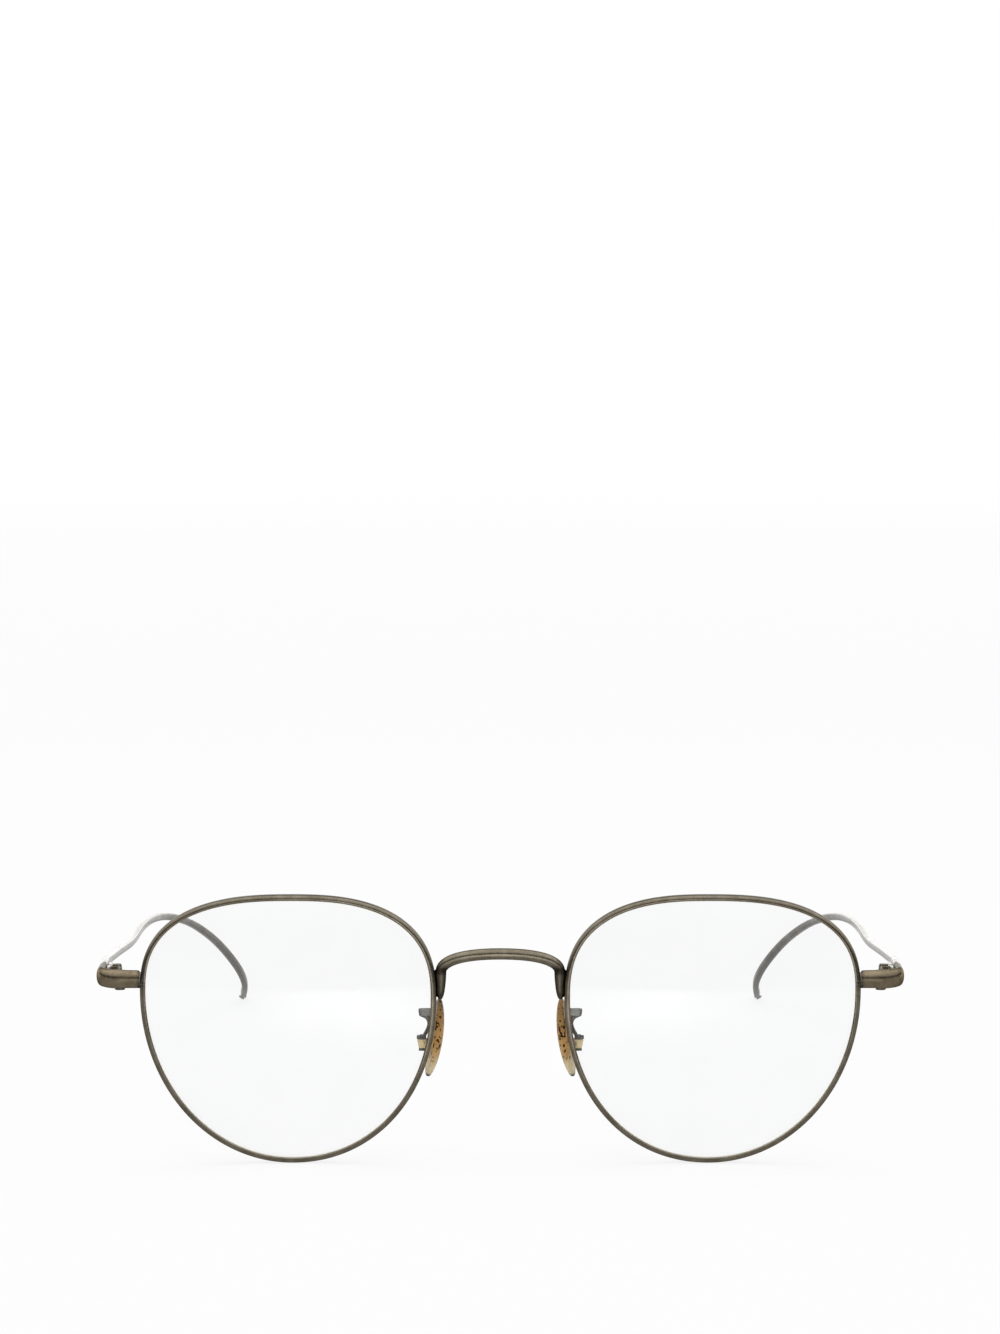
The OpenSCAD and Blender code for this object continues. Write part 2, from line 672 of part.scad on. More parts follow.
// Clip: two ears joined by a web behind the lug
module pad_clip() {
  upper_w = pad_x + lug_len - clip_x;
  lower_w = upper_w - lug_taper;
  ear_y = pin_y - lug_t / 2;
  ear_d = clip_web_y + clip_t - ear_y;
  color(arm_colour) difference() {
    union() {
      translate([clip_x, ear_y, clip_base_z]) cube([lower_w, ear_d, clip_t]);
      translate([clip_x, ear_y, clip_top_z - clip_t]) cube([upper_w, ear_d, clip_t]);
      translate([clip_x, clip_web_y, clip_base_z]) cube([lower_w, clip_t, clip_h]);
    }
    translate([pin_x, pin_y, clip_base_z]) through_hole(clip_h, pad_screw_d);
  }
}

module pad_screw() {
  color(screw_colour)
    translate([pin_x, pin_y, clip_top_z])
      mirror([0, 0, 1]) screw(pad_screw_d, clip_h, pad_head_d, pad_head_h);
}

// Nose pad: a crowned oval cushion with a lug behind it
module pad_body() {
  levels = [-86, -70, -50, -25, 0, 25, 50, 70, 86];
  edge_round = 0.35;
  face_round = 0.6;
  rings = [
    for (f = levels)
      let (k = pow(cos(f), edge_round), m = sign(f) * pow(abs(sin(f)), face_round))
      [for (i = [0:pad_steps - 1])
        let (
          t = 360 * i / pad_steps,
          u = k * pad_h / 2 * sin(t),
          v = k * pad_w / 2 * cos(t) * (1 - pad_taper * sin(t)),
          top = pad_t - u * u / (2 * pad_crown_r) - v * v / (2 * pad_cross_r)
        )
        [-top * (1 + m) / 2, v, u]]
  ];
  skin(rings);
}

module nose_pad() {
  lug_root = 0.5;
  color(pad_colour) difference() {
    union() {
      translate([pad_x, pad_back, pad_z])
        rotate([0, 0, -pad_turn])
          rotate([0, -pad_lean, 0])
            pad_body();
      translate([0, pin_y + lug_t / 2, 0]) rotate([90, 0, 0]) linear_extrude(height = lug_t)
        polygon([
          [pad_x - lug_root, lug_top_z],
          [pad_x + lug_len, lug_top_z],
          [pad_x + lug_len - lug_taper, lug_top_z - lug_h],
          [pad_x - lug_root, lug_top_z - lug_h]
        ]);
    }
    translate([pin_x, pin_y, lug_top_z - lug_h]) through_hole(lug_h, pad_screw_d);
  }
}

// The origin is under the middle of the object's box
front_edge_y = sphere_y([lens_x, lens_z]) - lens_t / 2;
back_edge_y = max([for (r = temple_rings(ear_drop), p = r) p.y]);
middle_y = (front_edge_y + back_edge_y) / 2;

// side is 1 for the wearer's left and -1 for the right
module placed(side) {
  translate([0, -middle_y, 0]) mirror([side < 0 ? 1 : 0, 0, 0]) children();
}

module bridge() { placed(1) bridge_bar(); }
module left_rim() { placed(1) rim(); }
module right_rim() { placed(-1) rim(); }
module left_lens() { placed(1) lens(); }
module right_lens() { placed(-1) lens(); }
module left_end_piece() { placed(1) end_piece(); }
module right_end_piece() { placed(-1) end_piece(); }
module left_upper_lock_block() { placed(1) lock_block(lock_z + rim_slit / 2); }
module right_upper_lock_block() { placed(-1) lock_block(lock_z + rim_slit / 2); }
module left_lower_lock_block() { placed(1) lock_block(lock_base_z); }
module right_lower_lock_block() { placed(-1) lock_block(lock_base_z); }
module left_lock_screw() { placed(1) lock_screw(); }
module right_lock_screw() { placed(-1) lock_screw(); }
module left_front_hinge_leaf() { placed(1) front_hinge_leaf(); }
module right_front_hinge_leaf() { placed(-1) front_hinge_leaf(); }
module left_hinge_screw() { placed(1) hinge_screw(); }
module right_hinge_screw() { placed(-1) hinge_screw(); }
module left_temple_hinge_leaf() { placed(1) temple_hinge_leaf(); }
module right_temple_hinge_leaf() { placed(-1) temple_hinge_leaf(); }
module left_temple() { placed(1) temple(); }
module right_temple() { placed(-1) temple(); }
module left_pad_arm() { placed(1) pad_arm(); }
module right_pad_arm() { placed(-1) pad_arm(); }
module left_pad_clip() { placed(1) pad_clip(); }
module right_pad_clip() { placed(-1) pad_clip(); }
module left_pad_screw() { placed(1) pad_screw(); }
module right_pad_screw() { placed(-1) pad_screw(); }
module left_nose_pad() { placed(1) nose_pad(); }
module right_nose_pad() { placed(-1) nose_pad(); }

left_rim();
right_rim();
left_lens();
right_lens();
bridge();
left_end_piece();
right_end_piece();
left_upper_lock_block();
right_upper_lock_block();
left_lower_lock_block();
right_lower_lock_block();
left_lock_screw();
right_lock_screw();
left_front_hinge_leaf();
right_front_hinge_leaf();
left_hinge_screw();
right_hinge_screw();
left_temple_hinge_leaf();
right_temple_hinge_leaf();
left_temple();
right_temple();
left_pad_arm();
right_pad_arm();
left_pad_clip();
right_pad_clip();
left_pad_screw();
right_pad_screw();
left_nose_pad();
right_nose_pad();
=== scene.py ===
"""Round wire-rim eyeglasses: the finished look of every piece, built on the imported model."""
import json
import math

import bmesh
import bpy
import numpy as np
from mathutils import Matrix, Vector
from mathutils.bvhtree import BVHTree

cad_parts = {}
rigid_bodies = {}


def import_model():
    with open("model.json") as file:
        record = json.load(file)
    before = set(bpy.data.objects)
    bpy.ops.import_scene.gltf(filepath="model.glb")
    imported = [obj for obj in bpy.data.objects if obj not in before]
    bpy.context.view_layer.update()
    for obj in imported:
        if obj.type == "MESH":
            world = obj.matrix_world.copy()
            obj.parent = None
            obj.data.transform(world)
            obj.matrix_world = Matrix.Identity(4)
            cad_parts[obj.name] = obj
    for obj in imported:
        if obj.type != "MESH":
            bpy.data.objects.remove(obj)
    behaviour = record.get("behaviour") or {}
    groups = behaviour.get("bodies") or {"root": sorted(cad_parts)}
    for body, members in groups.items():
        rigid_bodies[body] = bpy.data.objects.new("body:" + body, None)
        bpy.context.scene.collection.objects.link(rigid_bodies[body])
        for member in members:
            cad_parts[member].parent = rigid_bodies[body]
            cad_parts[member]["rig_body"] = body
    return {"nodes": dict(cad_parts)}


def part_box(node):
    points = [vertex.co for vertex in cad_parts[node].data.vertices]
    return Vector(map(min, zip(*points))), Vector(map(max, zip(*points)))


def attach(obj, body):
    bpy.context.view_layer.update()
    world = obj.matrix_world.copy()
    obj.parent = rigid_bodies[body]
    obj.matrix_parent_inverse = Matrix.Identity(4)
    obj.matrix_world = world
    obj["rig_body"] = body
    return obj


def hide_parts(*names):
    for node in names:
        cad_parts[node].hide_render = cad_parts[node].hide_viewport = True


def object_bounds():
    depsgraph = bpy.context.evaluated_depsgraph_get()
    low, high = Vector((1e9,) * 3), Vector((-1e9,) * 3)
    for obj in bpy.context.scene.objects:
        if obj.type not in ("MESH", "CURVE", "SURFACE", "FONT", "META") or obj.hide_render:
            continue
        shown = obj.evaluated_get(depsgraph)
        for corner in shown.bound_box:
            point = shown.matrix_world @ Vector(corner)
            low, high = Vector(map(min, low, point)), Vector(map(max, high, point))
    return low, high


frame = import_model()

CAD_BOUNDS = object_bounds()
NODES = frame["nodes"]
SIDES = ("left", "right")
MM = 0.001

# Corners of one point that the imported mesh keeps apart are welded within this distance
WELD = 0.002 * MM

# How much of a lens normal points to the front or the back on the two faces of the lens
FACE_ON = 0.97

# The photograph's camera, worked out from the rims, the feet and the temple tips
CAMERA_ASIDE = -0.055 * MM
CAMERA_HEIGHT = 182.6 * MM
CAMERA_BEFORE_FRONT = 787.0 * MM
CAMERA_PITCH = 7.222
CAMERA_LENS = 131.56

# Light that reaches matt surfaces from the white surroundings
WORLD_LEVEL = 0.62

# How far the darkening reaches out of the joints between two pieces, and further round the pads' clips and
# up the soldered legs of the bridge. It is partly patina in the joints and partly painted shade where the
# pieces shade each other; up the bridge's legs it is painted shade of the gap to the rim
PATINA_AND_SHADE_REACH = 0.8 * MM
CLIP_PATINA_AND_SHADE = 2.0 * MM
LEG_PATINA_AND_SHADE = 2.4 * MM

# The bridge's legs lie below this share of its height: how dark the painted shade on them is, and how dark
# and far the painted shade in the corner above them
LEG_TOP_SHARE = 0.55
LEG_SHADE = 0.78
CORNER_SHADE = 1.6
CORNER_SHADE_REACH = 1.2 * MM

# Edges of small pieces and of screws are rounded by these
PART_EDGE = 0.06 * MM
CLIP_EDGE = 0.05 * MM
SCREW_EDGE = 0.04 * MM

# Curvatures, one over the radius in metres, at which an edge starts to show wear and is worn bright
WEAR_START = 900.0
WEAR_FULL = 3500.0

# Height of the fine grain on metal and of the soft waves on plastic
FINE_BUMP = 0.02 * MM
SOFT_BUMP = 0.05 * MM

# The two legs of the bridge are soldered to the rims: the hair's breadth between them is filled, with a bite
SEAM = 0.2 * MM
BITE = 0.015 * MM

# The lens is pressed against the lips of its rim, so its ground edge takes up this much of the clearance
LENS_SEAT = 0.045 * MM

# The moulded pads: grain of their new mesh, passes that soften their edges, and how long the clear lug is
PAD_GRAIN = 0.14 * MM
PAD_SOFTENING = 14
LUG_LENGTH = 1.6 * MM

# Display colours of each metal: dark patina, the main tone and the worn edges
METALS = {
    "rim_metal": ((136, 127, 109), (158, 148, 130), (180, 171, 153)),
    "bridge_metal": ((142, 132, 112), (164, 154, 134), (186, 177, 158)),
    "end_metal": ((146, 132, 106), (170, 154, 128), (188, 175, 150)),
    "temple_metal": ((132, 129, 124), (150, 147, 141), (178, 175, 168)),
    "hinge_metal": ((122, 116, 104), (146, 140, 128), (170, 164, 152)),
    "arm_metal": ((104, 102, 97), (128, 126, 120), (156, 154, 148)),
    "screw_metal": ((98, 92, 80), (124, 117, 104), (156, 150, 138)),
}

# What polished metal mirrors, as (place, level) over the height of the mirrored direction from -0.4 to 0.6
MIRRORED_HEIGHTS = (-0.4, 0.6)
MIRRORED_AHEAD = ((0.0, 0.05), (0.47, 0.05), (0.56, 0.43), (1.0, 0.8))
MIRRORED_BEHIND = ((0.0, 1.8), (0.5, 1.8), (0.68, 0.6), (1.0, 0.4))
BEHIND_FROM = (0.45, 0.85)

# The floor: half its width, how far below the part it lies, and where it fades out, in metres
FLOOR_HALF = 1.4
FLOOR_DROP = 0.02 * MM
FLOOR_FADE = (0.45, 1.2)
FLOOR_WHITENESS = 0.84

# The floor as polished metal mirrors it, a painted glow of light and shade that only reflections see, as
# (place, level) over Y from -0.6 to 0.2, and its bright patch
TABLE_Y = (-0.6, 0.2)
TABLE_LEVELS = ((0.0, 0.05), (0.2, 0.05), (0.3, 0.38), (0.72, 0.3), (0.95, 1.0))
PATCH_LEVELS = ((0.0, 0.0), (0.22, 0.0), (0.3, 1.0), (0.46, 1.0), (0.58, 0.0))
PATCH_BRIGHTNESS = 1.25
PATCH_HALF_WIDTH = 0.09


def body_of(node):
    """Name of the body that a node belongs to."""
    return NODES[node]["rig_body"]


# Meshes


def welded(node):
    """The node's mesh with its split corners welded and its triangles paired into quads."""
    bm = bmesh.new()
    bm.from_mesh(NODES[node].data)
    bmesh.ops.remove_doubles(bm, verts=bm.verts, dist=WELD)
    bmesh.ops.join_triangles(
        bm,
        faces=bm.faces,
        angle_face_threshold=math.radians(40),
        angle_shape_threshold=math.radians(70),
    )
    return bm


def new_piece(name, bm):
    """A new object with the mesh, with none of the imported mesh's normals."""
    mesh = bpy.data.meshes.new(name)
    bm.to_mesh(mesh)
    bm.free()
    kept = ("position", ".edge_verts", ".corner_vert", ".corner_edge", "crease_edge")
    for layer in [a.name for a in mesh.attributes]:
        if layer not in kept and not layer.startswith("."):
            mesh.attributes.remove(mesh.attributes[layer])
    mesh.materials.clear()
    piece = bpy.data.objects.new(name, mesh)
    bpy.context.scene.collection.objects.link(piece)
    return piece


def apply_modifiers(piece):
    """Turns what the modifiers make into the piece's own mesh."""
    graph = bpy.context.evaluated_depsgraph_get()
    graph.update()
    mesh = bpy.data.meshes.new_from_object(piece.evaluated_get(graph))
    piece.modifiers.clear()
    piece.data = mesh


def shade(piece, sharp_angle=None):
    """Smooth shading, broken at edges steeper than sharp_angle degrees."""
    piece.data.shade_smooth()
    if sharp_angle is not None:
        piece.data.set_sharp_from_angle(angle=math.radians(sharp_angle))


def crease(bm, angle, value):
    """Keeps the edges that are steeper than angle degrees sharp through a subdivision."""
    layer = bm.edges.layers.float.get("crease_edge") or bm.edges.layers.float.new("crease_edge")
    for edge in bm.edges:
        if len(edge.link_faces) == 2 and edge.calc_face_angle(0) > math.radians(angle):
            edge[layer] = value


def subdivide(piece, levels):
    """Catmull-Clark subdivision, applied."""
    modifier = piece.modifiers.new("round", "SUBSURF")
    modifier.levels = levels
    modifier.render_levels = levels
    modifier.boundary_smooth = "PRESERVE_CORNERS"
    apply_modifiers(piece)


def bevel(piece, width, segments=2, angle=35):
    """Rounds the edges that are steeper than angle degrees, applied."""
    modifier = piece.modifiers.new("edges", "BEVEL")
    modifier.width = width
    modifier.segments = segments
    modifier.limit_method = "ANGLE"
    modifier.angle_limit = math.radians(angle)
    modifier.use_clamp_overlap = True
    modifier.miter_outer = "MITER_ARC"
    apply_modifiers(piece)


def mark_wear(piece):
    """Stores how convex each vertex is as 'wear': 0 on flat metal and in hollows, 1 on tight edges."""
    bm = bmesh.new()
    bm.from_mesh(piece.data)
    bm.normal_update()
    values = []
    for vertex in bm.verts:
        total = 0.0
        for edge in vertex.link_edges:
            gap = vertex.co - edge.other_vert(vertex).co
            total += 2 * vertex.normal.dot(gap) / max(gap.length_squared, 1e-14)
        bend = total / max(len(vertex.link_edges), 1)
        values.append(min(max((bend - WEAR_START) / (WEAR_FULL - WEAR_START), 0.0), 1.0))
    bm.free()
    layer = piece.data.attributes.new("wear", "FLOAT", "POINT")
    layer.data.foreach_set("value", values)


def trees_of(nodes):
    """A search tree for the mesh of each of the nodes."""
    trees = []
    for node in nodes:
        bm = bmesh.new()
        bm.from_mesh(NODES[node].data)
        trees.append(BVHTree.FromBMesh(bm))
        bm.free()
    return trees


def close_seams(piece, soldered_to):
    """Moves the points that face one of these nodes across a seam onto it, as solder does."""
    for tree in trees_of(soldered_to):
        for vertex in piece.data.vertices:
            spot, _, _, gap = tree.find_nearest(vertex.co, SEAM)
            if spot is not None and gap > 0:
                vertex.co = spot + (spot - vertex.co) / gap * BITE
    piece.data.update()


def mark_patina_and_shade(piece, neighbours, reach=PATINA_AND_SHADE_REACH):
    """Stores how close each vertex is to the neighbouring nodes as 'patina': 1 in the joint, 0 out of
    reach. The metal darkens with it: partly patina in the joint, partly painted shade between the pieces."""
    trees = trees_of(neighbours)
    values = []
    for vertex in piece.data.vertices:
        gaps = [tree.find_nearest(vertex.co, reach)[3] for tree in trees]
        nearest = min([gap for gap in gaps if gap is not None] + [reach])
        values.append(1 - nearest / reach)
    layer = piece.data.attributes.new("patina", "FLOAT", "POINT")
    layer.data.foreach_set("value", values)


def paint_leg_shade(piece):
    """Adds painted shade on the bridge's legs to 'patina': full in the corner where a leg meets the bar, and
    thinner below it."""
    low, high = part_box("bridge")
    corner = low.z + LEG_TOP_SHARE * (high.z - low.z)
    layer = piece.data.attributes["patina"]
    # Painted shade: full in the corner under the bar, thinner down the legs
    for vertex, darkness in zip(piece.data.vertices, layer.data):
        drop = (corner - vertex.co.z) / CORNER_SHADE_REACH
        under = min(max(drop + 1, 0.0), 1.0)
        in_corner = min(CORNER_SHADE * (1 - abs(drop)), 1.0)
        darkness.value = max(darkness.value, LEG_SHADE * under, in_corner)


def mark_grain(piece, grain):
    """Stores the vector grain(point) in millimetres, which runs slowly along the metal's grain."""
    layer = piece.data.attributes.new("grain", "FLOAT_VECTOR", "POINT")
    values = [number for v in piece.data.vertices for number in grain(v.co)]
    layer.data.foreach_set("vector", values)


def finish_piece(piece, node, material):
    """Gives the piece its material and puts it in the place of its node."""
    piece.data.materials.append(material)
    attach(piece, body_of(node))
    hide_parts(node)
    return piece


# Materials


class Nodes:
    """A node tree, built up by short calls."""

    def __init__(self, tree):
        self.tree = tree

    def add(self, kind, **settings):
        node = self.tree.nodes.new(kind)
        for key, value in settings.items():
            setattr(node, key, value)
        return node

    def link(self, source, target):
        self.tree.links.new(source, target)

    def put(self, value, socket):
        """Links a socket, or sets a plain number or colour."""
        if isinstance(value, bpy.types.NodeSocket):
            self.link(value, socket)
        else:
            socket.default_value = value

    def math(self, operation, a, b=0.0, clamp=False):
        node = self.add("ShaderNodeMath", operation=operation, use_clamp=clamp)
        self.put(a, node.inputs[0])
        self.put(b, node.inputs[1])
        return node.outputs[0]

    def millimetres(self):
        """The point's place on its own piece, in millimetres."""
        place = self.add("ShaderNodeTexCoord").outputs["Object"]
        node = self.add("ShaderNodeVectorMath", operation="SCALE")
        self.link(place, node.inputs[0])
        node.inputs["Scale"].default_value = 1 / MM
        return node.outputs[0]

    def attribute(self, name):
        return self.add("ShaderNodeAttribute", attribute_name=name)

    def noise(self, vector, scale, detail=2.0, roughness=0.5, distortion=0.0):
        node = self.add("ShaderNodeTexNoise")
        self.link(vector, node.inputs["Vector"])
        node.inputs["Scale"].default_value = scale
        node.inputs["Detail"].default_value = detail
        node.inputs["Roughness"].default_value = roughness
        node.inputs["Distortion"].default_value = distortion
        return node.outputs[0]

    def ramp(self, value, stops):
        """A colour or grey ramp through the stops (place, colour)."""
        node = self.add("ShaderNodeValToRGB")
        self.link(value, node.inputs[0])
        elements = node.color_ramp.elements
        while len(elements) < len(stops):
            elements.new(0.5)
        for element, (place, colour) in zip(elements, stops):
            element.position = place
            element.color = colour
        return node.outputs[0]

    def mix(self, share, a, b):
        node = self.add("ShaderNodeMix", data_type="RGBA")
        self.put(share, node.inputs[0])
        self.put(a, node.inputs[6])
        self.put(b, node.inputs[7])
        return node.outputs[2]

    def range(self, value, low, high, to_low, to_high):
        node = self.add("ShaderNodeMapRange")
        self.put(value, node.inputs[0])
        for socket, number in zip(node.inputs[1:5], (low, high, to_low, to_high)):
            socket.default_value = number
        return node.outputs[0]

    def split(self, vector):
        """The outputs X, Y and Z of a vector."""
        node = self.add("ShaderNodeSeparateXYZ")
        self.link(vector, node.inputs[0])
        return node.outputs

    def scaled(self, vector, factors):
        node = self.add("ShaderNodeVectorMath", operation="MULTIPLY")
        self.link(vector, node.inputs[0])
        node.inputs[1].default_value = factors
        return node.outputs[0]

    def glow(self, kind, socket, value):
        """A background or an emission with one input set."""
        node = self.add(kind)
        self.put(value, node.inputs[socket])
        return node.outputs[0]

    def blend(self, share, first, second):
        """A mix of two shaders."""
        node = self.add("ShaderNodeMixShader")
        self.link(share, node.inputs[0])
        self.link(first, node.inputs[1])
        self.link(second, node.inputs[2])
        return node.outputs[0]

    def seen(self, path):
        """1 where the camera looks straight at it or through a lens."""
        return self.math("MAXIMUM", path.outputs["Is Camera Ray"], path.outputs["Is Transmission Ray"])

    def bump(self, height, strength, distance, normal=None):
        node = self.add("ShaderNodeBump")
        node.inputs["Strength"].default_value = strength
        node.inputs["Distance"].default_value = distance
        self.link(height, node.inputs["Height"])
        if normal is not None:
            self.link(normal, node.inputs["Normal"])
        return node.outputs[0]


class MaterialNodes(Nodes):
    """The node tree of a new material, with its shader and its output."""

    def __init__(self, name):
        self.material = bpy.data.materials.new(name)
        self.material.use_nodes = True
        super().__init__(self.material.node_tree)
        self.shader = self.tree.nodes["Principled BSDF"]
        self.output = self.tree.nodes["Material Output"]


def srgb(red, green, blue):
    """Linear colour of a display colour given from 0 to 255."""
    def linear(c):
        c = c / 255
        return c / 12.92 if c <= 0.04045 else ((c + 0.055) / 1.055) ** 2.4
    return (linear(red), linear(green), linear(blue), 1.0)


def grey(value):
    return (value, value, value, 1.0)


def grey_stops(levels):
    """Stops of a ramp from pairs (place, level)."""
    return [(place, grey(level)) for place, level in levels]


# Dark colour of the darkening: patina in the joints, and painted shade between pieces and on the bridge's
# legs
PATINA_AND_SHADE = srgb(38, 33, 26)


def metal(name, roughness=0.18, glancing=0.3, darker_span=None):
    """Antique metal: mottled patina, fine streaks along the grain, paler worn edges, and a darkening from the
    'patina' attribute that is partly patina in the joints and partly painted shade. glancing is how much it
    mirrors at a flat angle, and the last argument gives the two places in Y between which it grows darker."""
    n = MaterialNodes(name)
    dark, main, worn = [srgb(*tone) for tone in METALS[name]]
    place = n.millimetres()
    grain = n.attribute("grain").outputs["Vector"]
    wear = n.attribute("wear").outputs["Fac"]
    clouds = n.noise(place, 0.45, detail=3.0, roughness=0.6)
    specks = n.noise(place, 3.2, detail=4.0, roughness=0.7)
    lines = n.noise(grain, 5.0, detail=3.0, roughness=0.6)
    patina = n.math("ADD", n.math("MULTIPLY", clouds, 0.45), n.math("MULTIPLY", specks, 0.3))
    patina = n.math("ADD", patina, n.math("MULTIPLY", lines, 0.25))
    colour = n.ramp(patina, [(0.38, dark), (0.5, main), (0.64, worn)])
    rubbed = n.math("MULTIPLY", wear, n.range(specks, 0.3, 0.65, 0.25, 0.8))
    # Darkening from the 'patina' attribute: patina in the joints, and painted shade between the pieces and on
    # the bridge's legs
    joint = n.math("MULTIPLY", n.attribute("patina").outputs["Fac"], n.range(specks, 0.3, 0.7, 0.8, 1.0))
    # Between the two given places in Y the metal grows darker, towards the temple's tips
    if darker_span is not None:
        later = n.range(n.split(place)["Y"], darker_span[0] / MM, darker_span[1] / MM, 0.0, 0.6)
        joint = n.math("MAXIMUM", joint, later)
    n.link(n.mix(joint, n.mix(rubbed, colour, worn), PATINA_AND_SHADE), n.shader.inputs["Base Color"])
    n.shader.inputs["Specular Tint"].default_value = grey(glancing)
    rough = n.range(n.math("ADD", specks, lines), 0.7, 1.3, roughness - 0.05, roughness + 0.08)
    n.link(n.math("SUBTRACT", rough, n.math("MULTIPLY", rubbed, 0.05)), n.shader.inputs["Roughness"])
    fine = n.bump(lines, 0.12, FINE_BUMP)
    n.link(n.bump(specks, 0.07, FINE_BUMP, fine), n.shader.inputs["Normal"])
    n.shader.inputs["Metallic"].default_value = 1.0
    return n.material


def tortoise(name, pad_low, pad_high, lug_start):
    """Honey acetate with brown flecks, clearer towards the pad's foot and in its lug, with painted shade
    along the bottom edge of its foot.
    """
    n = MaterialNodes(name)
    place = n.millimetres()
    warped = n.noise(place, 0.55, detail=2.0, roughness=0.5, distortion=0.4)
    upright = n.scaled(place, (1.0, 1.0, 0.65))
    flecks = n.noise(upright, 2.1, detail=1.0, roughness=0.4, distortion=0.15)
    axes = n.split(place)
    share = n.range(axes["Z"], pad_low / MM, pad_high / MM, 0.0, 1.0)
    # Colour up the pad: the two darkest stops at the bottom are painted shade along its foot, the rest the
    # pad's own colours
    honey_and_shade = n.ramp(share, [
        (0.0, srgb(52, 48, 38)), (0.04, srgb(76, 70, 56)), (0.075, srgb(216, 200, 164)),
        (0.2, srgb(226, 208, 168)), (0.34, srgb(206, 170, 112)), (0.6, srgb(190, 148, 92)),
        (0.85, srgb(146, 118, 74)), (1.0, srgb(92, 76, 50)),
    ])
    upper = n.range(share, 0.15, 0.35, 0.0, 1.0)
    amber = n.mix(n.math("MULTIPLY", upper, n.range(warped, 0.42, 0.62, 0.0, 0.6)), honey_and_shade, srgb(170, 124, 72))
    spots = n.math("MULTIPLY", n.range(flecks, 0.57, 0.61, 0.0, 1.0), upper)
    body = n.mix(spots, amber, srgb(48, 28, 14))
    outwards = n.math("ABSOLUTE", axes["X"])
    lug = n.range(outwards, lug_start / MM, lug_start / MM + 0.6, 0.0, 0.9)
    n.link(n.mix(lug, body, srgb(240, 222, 176)), n.shader.inputs["Base Color"])
    n.link(n.range(flecks, 0.3, 0.7, 0.22, 0.32), n.shader.inputs["Roughness"])
    n.link(n.bump(warped, 0.05, SOFT_BUMP), n.shader.inputs["Normal"])
    n.shader.inputs["Subsurface Weight"].default_value = 0.2
    n.shader.inputs["Subsurface Radius"].default_value = (1.0, 0.6, 0.25)
    n.shader.inputs["Subsurface Scale"].default_value = 0.25 * MM
    n.shader.inputs["Specular IOR Level"].default_value = 0.15
    n.shader.inputs["IOR"].default_value = 1.48
    return n.material


def lens_glass(name):
    """Clear lens plastic that lets lamps through, with the faintest smears on it."""
    n = MaterialNodes(name)
    smears = n.noise(n.millimetres(), 0.12, detail=4.0, roughness=0.65, distortion=0.5)
    n.link(n.ramp(smears, [(0.3, (0.975, 0.985, 0.98, 1)), (0.7, (0.995, 1, 0.998, 1))]),
           n.shader.inputs["Base Color"])
    n.link(n.range(smears, 0.45, 0.8, 0.0, 0.03), n.shader.inputs["Roughness"])
    n.shader.inputs["Transmission Weight"].default_value = 1.0
    n.shader.inputs["IOR"].default_value = 1.5
    open_to_lamps = n.add("ShaderNodeBsdfTransparent")
    open_to_lamps.inputs["Color"].default_value = (0.95, 0.96, 0.955, 1)
    path = n.add("ShaderNodeLightPath")
    mixer = n.blend(path.outputs["Is Shadow Ray"], n.shader.outputs[0], open_to_lamps.outputs[0])
    n.link(mixer, n.output.inputs["Surface"])
    return n.material


def ground_edge_with_painted_glow(name):
    """The matt bevel that grinding leaves round a lens: pale and translucent, with a painted glow standing in
    for the light that comes through it.
    """
    n = MaterialNodes(name)
    marks = n.noise(n.millimetres(), 6.0, detail=3.0, roughness=0.6)
    n.link(n.ramp(marks, [(0.35, srgb(196, 192, 182)), (0.65, srgb(214, 211, 204))]),
           n.shader.inputs["Base Color"])
    n.link(n.range(marks, 0.3, 0.7, 0.5, 0.65), n.shader.inputs["Roughness"])
    n.link(n.bump(marks, 0.2, FINE_BUMP), n.shader.inputs["Normal"])
    n.shader.inputs["Subsurface Weight"].default_value = 0.5
    n.shader.inputs["Subsurface Radius"].default_value = (1.0, 1.0, 1.0)
    n.shader.inputs["Subsurface Scale"].default_value = 0.6 * MM
    # Painted glow: an emission standing in for light coming through the lens's edge
    n.shader.inputs["Emission Color"].default_value = srgb(226, 222, 212)
    n.shader.inputs["Emission Strength"].default_value = 0.28
    return n.material


# Grain directions, in millimetres: the first number runs slowly, along the metal


def grain_round(node):
    """Grain that runs round the middle of a rim."""
    low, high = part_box(node)
    middle = (low + high) / 2

    def grain(p):
        across = Vector((p.x - middle.x, p.z - middle.z))
        turn = math.atan2(across.y, across.x)
        return (turn * 2.0, across.length / MM, (p.y - low.y) / MM)
    return grain


def grain_x(p):
    return (0.12 * p.x / MM, p.y / MM, p.z / MM)


def grain_y(p):
    return (p.x / MM, 0.12 * p.y / MM, p.z / MM)


def grain_z(p):
    return (p.x / MM, p.y / MM, 0.12 * p.z / MM)


# Pieces


def drawn_wire(node, metals, slot, grain, neighbours=(), reach=PATINA_AND_SHADE_REACH, soldered_to=()):
    """A swept metal piece: its packed rings smoothed, its cut ends kept sharp."""
    bm = welded(node)
    crease(bm, angle=75, value=0.85)
    piece = new_piece(node + "_form", bm)
    subdivide(piece, levels=2)
    mark_patina_and_shade(piece, neighbours, reach)
    close_seams(piece, soldered_to)
    shade(piece, sharp_angle=50)
    mark_wear(piece)
    mark_grain(piece, grain)
    return finish_piece(piece, node, metals[slot])


